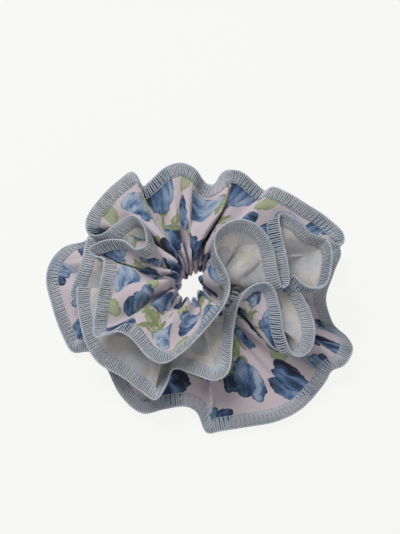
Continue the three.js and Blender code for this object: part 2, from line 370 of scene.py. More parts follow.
@dataclass
class Ruffle:
    """One ruffle: the cloth between the channel and one edge of a strip.

    Attributes:
        outline: the points that its wavy edge passes through, in millimetres, anticlockwise from above.
        facing: whether it leaves the channel upwards or downwards.
        rise: how far the cloth holds the direction in which it leaves the channel.
        reach: how far in from the edge the cloth holds the direction that it has at the edge.
        lean: how far out the cloth leans as it leaves the channel, as a share of its rise.
        stand: how upright the cloth is where the edge runs in or out.
        level: the height above which the cloth rises more and more steeply to its edge.
        follow: how far the channel's angle follows the edge's, from 0 for evenly gathered cloth to 1.
        blur: over what share of the edge that angle is blurred.
        echo: how much of the edge's folds shows again half way in.
        depth: the greatest height of its coarse gathers, from their middle to their top.
        fade: how far from the channel the coarse gathers have died away.
    """

    outline: Points
    facing: Facing
    rise: float = 0.013
    reach: float = 0.018
    lean: float = 0.5
    stand: float = 0.9
    level: float = 0.06
    follow: float = 0.8
    blur: float = 0.04
    echo: float = 0.5
    depth: float = 0.0026
    fade: float = 0.048

    # the widths of the blurs, as shares of the loop
    CORNER_EASE: ClassVar[float] = 0.0016
    TURN_EASE: ClassVar[float] = 0.006
    ARRIVAL_EASE: ClassVar[float] = 0.004
    ROOM_EASE: ClassVar[float] = 0.014
    BODY_EASE: ClassVar[float] = 0.04
    # the folds that echo are what a narrow blur keeps and a wide one doesn't
    FOLDS_WITHIN: ClassVar[tuple[float, float]] = (0.004, 0.035)
    # the most that the rise and the reach may take of a ruling
    LONGEST_RISE: ClassVar[float] = 0.35
    LONGEST_REACH: ClassVar[float] = 0.42
    # the height over which a high edge steepens by one, and by how much at most
    STEEPENING: ClassVar[float] = 0.01
    STEEPEST: ClassVar[float] = 1.4
    # scales the echo's bell, whose own top is at 0.19
    BELL_SCALE: ClassVar[float] = 3.9

    def edge(self, count: int) -> np.ndarray:
        """The edge as a smooth closed curve of equal steps, with its sharpest corners eased."""
        curve = closed_curve(np.array(self.outline) * MM, count)
        return smooth_loop(curve, self.CORNER_EASE)

    def turning(self, edge: np.ndarray) -> np.ndarray:
        """The channel's angle for each point of the edge: the point's own angle, evened out along the edge.

        The angle is unwound. What it has over an even turn is blurred, and its swing about its mean is
        reduced. Then the sum is kept from running backwards, by taking the middle between the highest angle
        so far and the lowest yet to come. The cloth is gathered evenly, so the channel can't follow each
        fold.

        Args:
            edge: the edge's points, in order round the loop.

        Returns:
            One angle for each point, in radians, which rises by a turn round the loop.
        """
        count = len(edge)
        even = np.arange(count) / count * TURN
        angle = np.unwrap(np.arctan2(edge[:, 1], edge[:, 0]))
        ahead = smooth_loop(angle - even, self.blur)
        angle = even + ahead.mean() + self.follow * (ahead - ahead.mean())
        rounds = three_rounds(angle, TURN)
        rising = np.maximum.accumulate(rounds)
        falling = np.minimum.accumulate(rounds[::-1])[::-1]
        middle = ((rising + falling) / 2)[count : 2 * count]
        return smooth_loop(middle - even, self.TURN_EASE) + even

    def sheet(
        self, start: np.ndarray, outward: np.ndarray, edge: np.ndarray, shares: np.ndarray
    ) -> np.ndarray:
        """The ruffle's surface: cubic Bezier rulings from the channel to the edge.

        A ruling leaves the channel along the lean and the facing, and reaches the edge square to it: along
        the line from channel to edge, less its part along the edge, plus an upright part where the edge
        runs in or out or is high. Last, the surface bulges along its normal by an echo of the edge's folds,
        in a bell over the way from channel to edge: the way, times what is left of it to the power 1.5.

        Args:
            start: the channel's points, columns by 3.
            outward: the unit outward directions there.
            edge: the edge's points.
            shares: shares of the way from the channel to the edge, one for each row.

        Returns:
            The surface, columns by rows by 3.
        """
        away = unit(outward * self.lean + UP * self.facing.value)
        along = loop_slope(edge, 2)
        upright = self.facing.value * self.stand * self.running_in(edge)[:, None]
        high = np.clip((edge[:, 2:] - self.level) / self.STEEPENING, 0, self.STEEPEST)
        aim = unit(edge - start) + UP * (upright + high)
        square = aim - (aim * along).sum(1, keepdims=True) * along
        arrive = unit(smooth_loop(unit(square), self.ARRIVAL_EASE))
        p0, p3 = start, edge
        span = np.linalg.norm(edge - start, axis=1, keepdims=True)
        p1 = p0 + away * np.minimum(self.rise, self.LONGEST_RISE * span)
        p2 = p3 - arrive * np.minimum(self.reach, self.LONGEST_REACH * span)
        t = shares[None, :, None]
        p0, p1, p2, p3 = (p[:, None, :] for p in (p0, p1, p2, p3))
        smooth = p0 * (1 - t) ** 3 + 3 * p1 * t * (1 - t) ** 2 + 3 * p2 * t**2 * (1 - t) + p3 * t**3
        narrow, wide = self.FOLDS_WITHIN
        fold = smooth_loop(edge, narrow) - smooth_loop(edge, wide)
        normals = surface_normals(smooth_loop(smooth, self.BODY_EASE))
        push = (fold[:, None] * normals).sum(-1, keepdims=True) * self.room(edge)[:, None, None]
        return smooth + normals * push * self.echo * (t * (1 - t) ** 1.5) * self.BELL_SCALE

    @staticmethod
    def running_in(edge: np.ndarray) -> np.ndarray:
        """How far an edge runs in or out rather than round: its slope's radial part, squared."""
        return (loop_slope(edge, 2) * unit(edge * [1, 1, 0])).sum(1) ** 2

    @classmethod
    def room(cls, edge: np.ndarray) -> np.ndarray:
        """How much room there is for gathers at each point of an edge, from nearly none to 1.

        It falls in a straight line where the edge runs in and out rather than round: a deep fold's layers
        lie close there, and the fold itself takes up the cloth.
        """
        return np.clip(1.3 - 1.5 * smooth_loop(cls.running_in(edge), cls.ROOM_EASE), 0.08, 1)


@dataclass
class ClothStrip:
    """One strip of cloth, closed into a loop and gathered along its middle.

    Attributes:
        name: the piece's name.
        upper: its upper ruffle.
        lower: its lower ruffle.
        wall_r: mean radius of the gathered wall round the channel.
        wall_z: height of the channel's middle.
        wall_half: half of the height of the wall.
        gathers: how many coarse gathers go round.
        depth: the greatest height of a fine gather at the channel, from its middle to its top.
        right_side_in: whether the printed side faces the hole.
        seam_turn: where the seam that closes the loop lies, in degrees anticlockwise from +X.
        narrowing: how much narrower the hole is one way than the other. Half of it is also how much
            deeper the gathers are there.
        narrow_turn: the way that is narrowed, in degrees anticlockwise from +X.
        front_ease: by how much the gathers at the channel are shallower at the front, as a share.
        columns: how many columns of vertices go round.
        thickness: the cloth's thickness.
        flat_length: length of the strip before it was gathered.
        flat_width: its width from edge to edge.
        upper_rows: rows of vertices from the channel to the upper edge.
        wall_rows: rows inside the wall.
        lower_rows: rows from the channel to the lower edge.
        fine_reach: distance from the channel at which the fine gathers have died away.
        coarse_onset: distance over which the coarse gathers come in.
        calm_reach: distance from which the coarse gathers fade, and at which the room tells in full.
        grid: the finished surface, columns by rows by 3, worked out.
        normals: its unit normals towards the right side, worked out.
        across: each row's place across the flat strip, worked out.
        turned: whether the grid's own normals point to the wrong side, worked out.
    """

    name: str
    upper: Ruffle
    lower: Ruffle
    wall_r: float
    wall_z: float
    wall_half: float
    gathers: int
    depth: float
    right_side_in: bool
    seam_turn: float
    narrowing: float = 0.0
    narrow_turn: float = 0.0
    front_ease: float = 0.0
    columns: int = 640
    thickness: float = 0.0004
    flat_length: float = 0.54
    flat_width: float = 0.108
    upper_rows: int = 31
    wall_rows: int = 7
    lower_rows: int = 25
    fine_reach: float = 0.012
    coarse_onset: float = 0.01
    calm_reach: float = 0.014
    grid: np.ndarray = field(init=False)
    normals: np.ndarray = field(init=False)
    across: np.ndarray = field(init=False)
    turned: bool = field(init=False)

    def __post_init__(self) -> None:
        """Works out the strip's surface: upper ruffle from its edge down, wall, lower ruffle to its edge."""
        count = self.columns
        upper_edge = self.upper.edge(count)
        turn = self.upper.turning(upper_edge)
        lower_edge = self.matched_edge(turn)
        upper_edge, lower_edge, turn = self.started_at_seam(upper_edge, lower_edge, turn)
        outward = np.stack([np.cos(turn), np.sin(turn), np.zeros(count)], axis=1)
        squeeze = self.narrowing * np.cos(turn - math.radians(self.narrow_turn)) ** 2
        ring = outward * (self.wall_r - squeeze[:, None] / 2)
        top = ring + [0, 0, self.wall_z + self.wall_half]
        bottom = ring + [0, 0, self.wall_z - self.wall_half]
        up_share = self.row_shares(self.upper_rows)
        low_share = self.row_shares(self.lower_rows)
        wall_share = np.linspace(0, 1, self.wall_rows + 2)[1:-1]
        upper = self.upper.sheet(top, outward, upper_edge, up_share)[:, ::-1]
        wall = top[:, None] + (bottom - top)[:, None] * wall_share[None, :, None]
        lower = self.lower.sheet(bottom, outward, lower_edge, low_share)
        smooth = np.concatenate([upper, wall, lower], axis=1)
        ruffle = (self.flat_width - 2 * self.wall_half) / 2
        self.across = np.concatenate(
            [
                self.wall_half + ruffle * up_share[::-1],
                self.wall_half * (1 - 2 * wall_share),
                -self.wall_half - ruffle * low_share,
            ]
        )
        upper_room = self.upper.room(upper_edge)[:, None]
        lower_room = self.lower.room(lower_edge)[:, None]
        room = np.where(self.across > 0, upper_room, lower_room)
        front = np.clip(-np.sin(turn), 0, 1) ** 2
        fine_depth = self.depth * (1 - self.front_ease * front)
        self.grid = self.gathered(smooth, fine_depth, squeeze / 2, smooth_loop(room, 0.006))
        facing = surface_normals(self.grid)
        middle = self.upper_rows + self.wall_rows // 2
        inwards = (facing[:, middle] * outward).sum(1).mean() < 0
        self.turned = bool(inwards != self.right_side_in)
        self.normals = -facing if self.turned else facing

    @staticmethod
    def row_shares(rows: int) -> np.ndarray:
        """Shares of the way to the edge, one for each row, a little closer together at the edge."""
        even = np.linspace(0, 1, rows)
        crowding = 0.12
        return even + crowding * np.sin(np.pi * even) * even

    def matched_edge(self, turn: np.ndarray) -> np.ndarray:
        """The lower edge, with its points slid along it to meet the upper ruffle's at the channel.

        Args:
            turn: the channel's angle at each column, from the upper edge.

        Returns:
            The lower edge's points whose own channel angles are the same, columns by 3.
        """
        fine = 4 * self.columns
        edge = self.lower.edge(fine)
        angle = self.lower.turning(edge)
        share = np.arange(fine) / fine
        shift = TURN * np.round((turn.mean() - angle.mean()) / TURN)
        met = np.interp(turn - shift, three_rounds(angle, TURN), three_rounds(share, 1))
        return at_lengths(edge, np.mod(met, 1.0))

    def started_at_seam(self, *rows: np.ndarray) -> list[np.ndarray]:
        """The same closed rows, of which the last is the turn, each started at the column by the seam."""
        gap = np.angle(np.exp(1j * (rows[-1] - math.radians(self.seam_turn))))
        first = int(np.argmin(np.abs(gap)))
        return [np.roll(row, -first, axis=0) for row in rows]

    def gathered(
        self, smooth: np.ndarray, fine_depth: np.ndarray, deeper: np.ndarray, room: np.ndarray
    ) -> np.ndarray:
        """Adds the gathers, which take up the cloth that the smooth surface leaves over.

        Two waves move the surface along its normal. The fine one is deepest at the channel. Where it dies
        away the coarse one takes over, which dies away in turn before the overlocked edge. The height of a
        wave is a quarter of the leg of a right-angled triangle whose other leg is the width that one wave
        has and whose long side is the cloth that it takes up, and at most the depth. A wave of twice the
        rate also moves the surface along itself, which makes the gathers' tops fuller than their valleys.
        Slow waves shift their phase and their depth, so no two gathers are alike.

        Args:
            smooth: the surface without gathers, columns by rows by 3.
            fine_depth: the fine wave's greatest height, one for each column.
            deeper: what is added to both waves' greatest heights, one for each column.
            room: the share of its height that a gather keeps away from the channel, columns by rows.

        Returns:
            The gathered surface, of the same shape.
        """
        count = self.columns
        turns = np.arange(count) / count * TURN
        wander = 1.7 * np.sin(3 * turns + 0.8) + 1.1 * np.sin(7 * turns + 2.1)
        distance = np.maximum(np.abs(self.across) - self.wall_half, 0)
        side = np.sign(self.across)
        steps = smooth_loop(np.linalg.norm(np.roll(smooth, -1, axis=0) - smooth, axis=2), 0.02)
        lift = np.zeros((count, len(distance)))
        bulge = np.zeros((count, len(distance)))
        fine_fade = 1 - smoothstep(distance / self.fine_reach)
        fade = np.where(side > 0, self.upper.fade, self.lower.fade)
        fading = smoothstep((distance - self.calm_reach) / (fade - self.calm_reach))
        coarse_fade = smoothstep(distance / self.coarse_onset + 0.2) * (1 - fading)
        coarse = np.where(side > 0, self.upper.depth, self.lower.depth)
        near = smoothstep(distance / self.calm_reach)[None, :]
        calm = 1 - near + near * room
        for cycles, most, envelope, drift in (
            (2 * self.gathers, fine_depth[:, None], fine_fade, 1.0),
            (self.gathers, coarse, coarse_fade, 0.6),
        ):
            width = steps * count / cycles
            cloth = self.flat_length / cycles
            height = np.sqrt(np.maximum(cloth**2 - width**2, 0)) / 4
            height = np.minimum(height, (most + deeper[:, None]) * envelope[None, :]) * calm
            trail = 0.25 * side * np.sqrt(distance / self.coarse_onset)
            phase = (cycles * turns + drift * wander)[:, None] + trail
            height = height * (1 + 0.3 * np.sin(5 * turns + cycles))[:, None]
            lift += height * np.sin(phase)
            bulge += 0.16 * np.minimum(height, width) * np.sin(2 * phase)
        even = smooth_loop(smooth, 0.05)
        return smooth + surface_normals(even) * lift[:, :, None] - loop_slope(even) * bulge[:, :, None]

    def build(self, right: bpy.types.Material, wrong: bpy.types.Material) -> bpy.types.Object:
        """Makes the cloth's mesh.

        Args:
            right: the printed side's material.
            wrong: the other side's.

        Returns:
            The piece.
        """
        shell = cloth_shell(self.grid, self.normals, self.thickness, self.across, self.flat_length)
        if self.turned:
            shell = Quads(shell.vertices, shell.faces[:, ::-1], shell.uv[:, ::-1], shell.material)
        return shell.to_object(self.name, [right, wrong])

    def sewn_thread(
        self, cloth: np.ndarray, facing: np.ndarray, beats: np.ndarray, radius: float, closed: bool
    ) -> Quads:
        """A thread sewn on this cloth, which dips through it and is pinched there once for each stitch.

        Its height over the cloth and its thickness both follow the size of a sine of the stitches.

        Args:
            cloth: the points of the cloth's middle that it runs over.
            facing: unit normals there. A closed row lies on their side, and an open seam on the other one.
            beats: how many stitches lie before each point.
            radius: the thread's radius.
            closed: whether it is a loop.

        Returns:
            The thread's faces.
        """
        beat = np.abs(np.sin(np.pi * beats))
        lift = self.thickness / 2 + radius * (0.2 + 0.7 * beat)
        path = cloth + facing * (lift if closed else -lift)[:, None]
        size = radius * (0.55 + 0.45 * beat)
        return thread_tubes(path[None], facing[None], size[None], 5 if closed else 4, closed)


# ---------------------------------------------------------------------------------------------------------
# Outlines of the four ruffle edges, in millimetres, anticlockwise from the front left
# ---------------------------------------------------------------------------------------------------------

INNER_TOP: Points = [
    # front left corner and the long front scallop
    (-48, -34, 33), (-36, -33, 37), (-30, -36, 36), (-21, -46, 34), (-14, -49, 34), (-5, -45, 37),
    (7, -33, 40), (17, -20, 44), (19, -12, 47), (17, -6, 50),
    # the tall mouth beside the hole
    (12, 3, 54), (12, 11, 57), (18, 17, 58), (26, 19, 58), (34, 16, 56), (40, 9, 51), (43, -1, 43),
    (46, -9, 38), (49, -7, 39), (48, 5, 44), (45, 18, 49),
    # the right ruffle, folded under itself, and its tip
    (45, 27, 51), (55, 24, 49), (61, 19, 45), (70, 17, 42), (77, 15, 40), (78, 20, 42), (70, 28, 45),
    (60, 34, 48), (49, 40, 51), (42, 44, 50),
    # three lobes across the back, with a valley between each two
    (38, 46, 43), (33, 49, 46), (25, 53, 51), (17, 53, 51), (12, 49, 45), (7, 53, 40),
    (1, 57, 48), (-6, 59, 50), (-14, 56, 50), (-22, 50, 46), (-26, 50, 41),
    (-31, 54, 49), (-38, 48, 50), (-47, 38, 49), (-54, 27, 46), (-53, 20, 43),
    # the curl at the left, which loops over towards the hole
    (-47, 19, 43), (-38, 24, 47), (-30, 26, 51), (-24, 18, 53), (-23, 8, 51), (-28, 7, 49), (-35, 14, 46),
    (-45, 15, 44), (-53, 12, 40), (-50, 9, 39), (-45, 7, 40), (-46, -7, 39), (-48, -20, 36),
]

OUTER_TOP: Points = [
    # front left, two hanging scallops
    (-47, -42, 20), (-34, -50, 19), (-25, -57, 18), (-18, -62, 19), (-13, -56, 22), (-9, -48, 26),
    (1, -51, 26), (12, -55, 27), (18, -51, 28), (20, -37, 30), (21, -27, 32),
    # the arch and the third mouth
    (25, -14, 38), (33, -8, 40), (40, -8, 39), (44, -18, 35), (47, -31, 26), (52, -40, 23), (59, -38, 24),
    (62, -29, 28), (59, -17, 32), (53, -7, 36),
    # the round cup at the right
    (51, -2, 39), (59, -10, 40), (67, -9, 40), (71, 2, 41), (71, 14, 42), (66, 21, 41),
    # deep folds across the back, under the inner strip
    (62, 27, 34), (54, 27, 24), (53, 34, 19), (58, 39, 22), (52, 42, 31), (44, 42, 36), (37, 46, 31),
    (33, 52, 22), (28, 61, 17), (20, 64, 20), (16, 57, 29), (10, 52, 34), (3, 58, 31), (2, 68, 22),
    (-6, 74, 17), (-13, 69, 21), (-15, 60, 30), (-22, 54, 34), (-28, 57, 27), (-29, 64, 19), (-37, 60, 18),
    (-42, 50, 24), (-40, 44, 33), (-47, 38, 34), (-54, 30, 26), (-55, 23, 30),
    # the double fold at the left
    (-58, 10, 27), (-61, 3, 23), (-63, -4, 20), (-61, -6, 20), (-59, -1, 25), (-59, -9, 24),
    (-57, -20, 22), (-53, -33, 21),
]

OUTER_BOTTOM: Points = [
    # front left, then the fold whose corner points at the viewer
    (-44, -38, 7), (-36, -53, 4), (-25, -63, 5), (-14, -62, 8), (-3, -61, 9), (3, -63, 6), (8, -73, 3),
    (14, -72, 3), (28, -70, 4), (43, -67, 4), (56, -60, 4), (67, -48, 6),
    # the right lobe, turned under along its side
    (72, -41, 9), (78, -39, 11), (83, -30, 10), (81, -22, 7), (74, -12, 5), (71, 2, 5), (76, 18, 8),
    (80, 29, 10),
    # the back, where it stands and lies by turns
    (76, 37, 11), (66, 38, 4), (60, 44, 3), (62, 52, 7), (54, 54, 11), (44, 52, 11), (38, 56, 4),
    (40, 66, 3), (30, 71, 7), (21, 66, 13), (14, 62, 10), (9, 69, 3), (2, 76, 4), (-9, 74, 9),
    (-14, 66, 13), (-21, 63, 9), (-24, 70, 3), (-34, 69, 4), (-40, 60, 11), (-44, 52, 13), (-48, 53, 5),
    (-55, 45, 4), (-58, 36, 9),
    # the left lobe
    (-69, 31, 11), (-76, 24, 8), (-78, 14, 7), (-74, -2, 5), (-68, -18, 4), (-62, -28, 4), (-54, -28, 5),
    (-49, -31, 6),
]


def low_scallops(
    folds: int, radius: float, swing: float, height: float, middle: tuple[float, float]
) -> Points:
    """The hidden bottom edge, which lies on the table: a round of even waves.

    Its radius swings in and out once for each fold, and its height swings a quarter of a fold later. Slow
    sines of two and three turns make the folds uneven.

    Args:
        folds: how many waves go round.
        radius: the mean radius, in millimetres.
        swing: how far it swings to each side.
        height: the greatest height above the lowest point.
        middle: where the round is centred.

    Returns:
        Eight points for each fold.
    """
    turn = np.arange(8 * folds) / (8 * folds) * TURN - 0.75 * np.pi
    wave = folds * turn + 0.9 * np.sin(3 * turn)
    r = radius + swing * np.cos(wave) + 0.5 * swing * np.sin(2 * turn + 1)
    lean = turn + 0.035 * np.sin(wave)
    lowest = 1.4
    z = lowest + height * (0.5 + 0.5 * np.sin(wave))
    x, y = middle[0] + r * np.cos(lean), middle[1] + r * np.sin(lean)
    return [tuple(point) for point in np.stack([x, y, z], axis=1)]


# ---------------------------------------------------------------------------------------------------------
# Shader nodes
# ---------------------------------------------------------------------------------------------------------

Socket = bpy.types.NodeSocket
Input = Socket | float | tuple[float, ...]
Colour = tuple[float, float, float]
Pair = tuple[float, float]


@dataclass
class NodeKit:
    """Adds nodes to one node tree and joins them, so that a shader reads as a formula."""

    tree: bpy.types.NodeTree

    def put(self, node: bpy.types.Node, index: int | str, value: Input) -> None:
        """Feeds one input of a node: a socket is linked and a number or vector is set."""
        if isinstance(value, Socket):
            self.tree.links.new(value, node.inputs[index])
        else:
            node.inputs[index].default_value = value

    def math(
        self, operation: str, a: Input, b: Input = 0.0, c: Input = 0.0, clamp: bool = False
    ) -> Socket:
        """A Math node's result."""
        node = self.tree.nodes.new("ShaderNodeMath")
        node.operation = operation
        node.use_clamp = clamp
        for index, value in enumerate((a, b, c)):
            self.put(node, index, value)
        return node.outputs[0]

    def vector(self, operation: str, a: Input, b: Input = (0, 0, 0), c: Input = (0, 0, 0)) -> Socket:
        """A Vector Math node's result: the number for a length, and the vector otherwise."""
        node = self.tree.nodes.new("ShaderNodeVectorMath")
        node.operation = operation
        for index, value in enumerate((a, b, c)):
            self.put(node, index, value)
        return node.outputs["Value" if operation == "LENGTH" else "Vector"]

    def scaled(self, a: Input, factor: float) -> Socket:
        """A vector times a number."""
        node = self.tree.nodes.new("ShaderNodeVectorMath")
        node.operation = "SCALE"
        self.put(node, 0, a)
        self.put(node, "Scale", factor)
        return node.outputs["Vector"]

    def parts(self, a: Input) -> bpy.types.NodeOutputs:
        """The x, y and z of a vector."""
        node = self.tree.nodes.new("ShaderNodeSeparateXYZ")
        self.put(node, 0, a)
        return node.outputs

    def unrolled(self) -> Socket:
        """The piece's own UV map, which is in metres along the cloth or the thread."""
        node = self.tree.nodes.new("ShaderNodeUVMap")
        node.uv_map = UV_MAP
        return node.outputs[0]

    def placed(self, a: Input, at: Pair, degrees: float, size: Pair) -> Socket:
        """Coordinates in a motif's own frame.

        Args:
            a: the coordinates to start from.
            at: the motif's middle in them.
            degrees: its turn.
            size: what counts as 1 along and across it.

        Returns:
            The coordinates in its frame.
        """
        node = self.tree.nodes.new("ShaderNodeMapping")
        node.vector_type = "TEXTURE"
        self.put(node, "Vector", a)
        self.put(node, "Location", (*at, 0))
        self.put(node, "Rotation", (0, 0, math.radians(degrees)))
        self.put(node, "Scale", (*size, 1))
        return node.outputs[0]

    def oval(self, a: Input, at: Pair, degrees: float, size: Pair) -> Socket:
        """Distance from an oval's middle, which is 1 on the oval."""
        return self.vector("LENGTH", self.placed(a, at, degrees, size))

    def noise(self, a: Input, scale: float, detail: float = 2.0, colour: bool = False) -> Socket:
        """A Noise Texture's value, or its colour."""
        node = self.tree.nodes.new("ShaderNodeTexNoise")
        self.put(node, "Vector", a)
        self.put(node, "Scale", scale)
        self.put(node, "Detail", detail)
        return node.outputs["Color" if colour else "Fac"]

    def bend(self, a: Input, scale: float, detail: float) -> Socket:
        """A vector that wanders about nought from place to place: a noise's colour less a half."""
        return self.vector("SUBTRACT", self.noise(a, scale, detail, colour=True), (0.5, 0.5, 0.5))

    def ramp(self, a: Input, low: float, high: float, to_low: float = 0.0, to_high: float = 1.0) -> Socket:
        """A smooth step of a value.

        Args:
            a: the value.
            low: where the step starts. It may be above the end.
            high: where it ends.
            to_low: the result at the start and before it.
            to_high: the result at the end and after it.

        Returns:
            The result.
        """
        node = self.tree.nodes.new("ShaderNodeMapRange")
        node.interpolation_type = "SMOOTHSTEP"
        for index, value in enumerate((a, low, high, to_low, to_high)):
            self.put(node, index, value)
        return node.outputs[0]

    def mix(self, factor: Input, a: Input, b: Input) -> Socket:
        """One colour laid over another by a factor."""
        node = self.tree.nodes.new("ShaderNodeMix")
        node.data_type = "RGBA"
        self.put(node, 0, factor)
        for index, value in ((6, a), (7, b)):
            self.put(node, index, (*value, 1) if isinstance(value, tuple) else value)
        return node.outputs[2]

    def tones(self, a: Input, stops: list[tuple[float, Colour]]) -> Socket:
        """A Color Ramp of the stops."""
        node = self.tree.nodes.new("ShaderNodeValToRGB")
        self.put(node, 0, a)
        ramp = node.color_ramp
        while len(ramp.elements) < len(stops):
            ramp.elements.new(0.5)
        for element, (position, colour) in zip(ramp.elements, stops):
            element.position = position
            element.color = (*colour, 1)
        return node.outputs[0]

    def use(self, group: bpy.types.NodeTree, **inputs: Input) -> bpy.types.Node:
        """A node that uses a group, with its inputs by name."""
        node = self.tree.nodes.new("ShaderNodeGroup")
        node.node_tree = group
        for name, value in inputs.items():
            self.put(node, name, value)
        return node


def new_group(
    name: str, inputs: dict[str, str], outputs: dict[str, str]
) -> tuple[NodeKit, bpy.types.Node, bpy.types.Node]:
    """Starts a shader node group.

    Args:
        name: the group's name.
        inputs: the kind of each input, by name: Vector, Float or Color.
        outputs: the same for the outputs.
    """
    tree = bpy.data.node_groups.new(name, "ShaderNodeTree")
    for way, sockets in (("INPUT", inputs), ("OUTPUT", outputs)):
        for label, kind in sockets.items():
            tree.interface.new_socket(label, in_out=way, socket_type=f"NodeSocket{kind}")
    return NodeKit(tree), tree.nodes.new("NodeGroupInput"), tree.nodes.new("NodeGroupOutput")


def srgb(code: str) -> Colour:
    """A linear colour from a six-digit sRGB code."""
    parts = [int(code[k : k + 2], 16) / 255 for k in (0, 2, 4)]
    return tuple(p / 12.92 if p <= 0.04045 else ((p + 0.055) / 1.055) ** 2.4 for p in parts)


# ---------------------------------------------------------------------------------------------------------
# The print
# ---------------------------------------------------------------------------------------------------------


FLAT = (1, 1, 0)  # drops a vector's third part


@dataclass(frozen=True)
class Sprig:
    """One place in the repeat of the print where a flower or a pale leaf lies.

    Attributes:
        at: its middle in the repeat, in millimetres.
        turn: its turn, in degrees.
        size: its height, in millimetres.
        tone: how light a flower's petals are: 0 is the darkest. It also makes each outline different.
    """

    at: Pair
    turn: float
    size: float
    tone: float


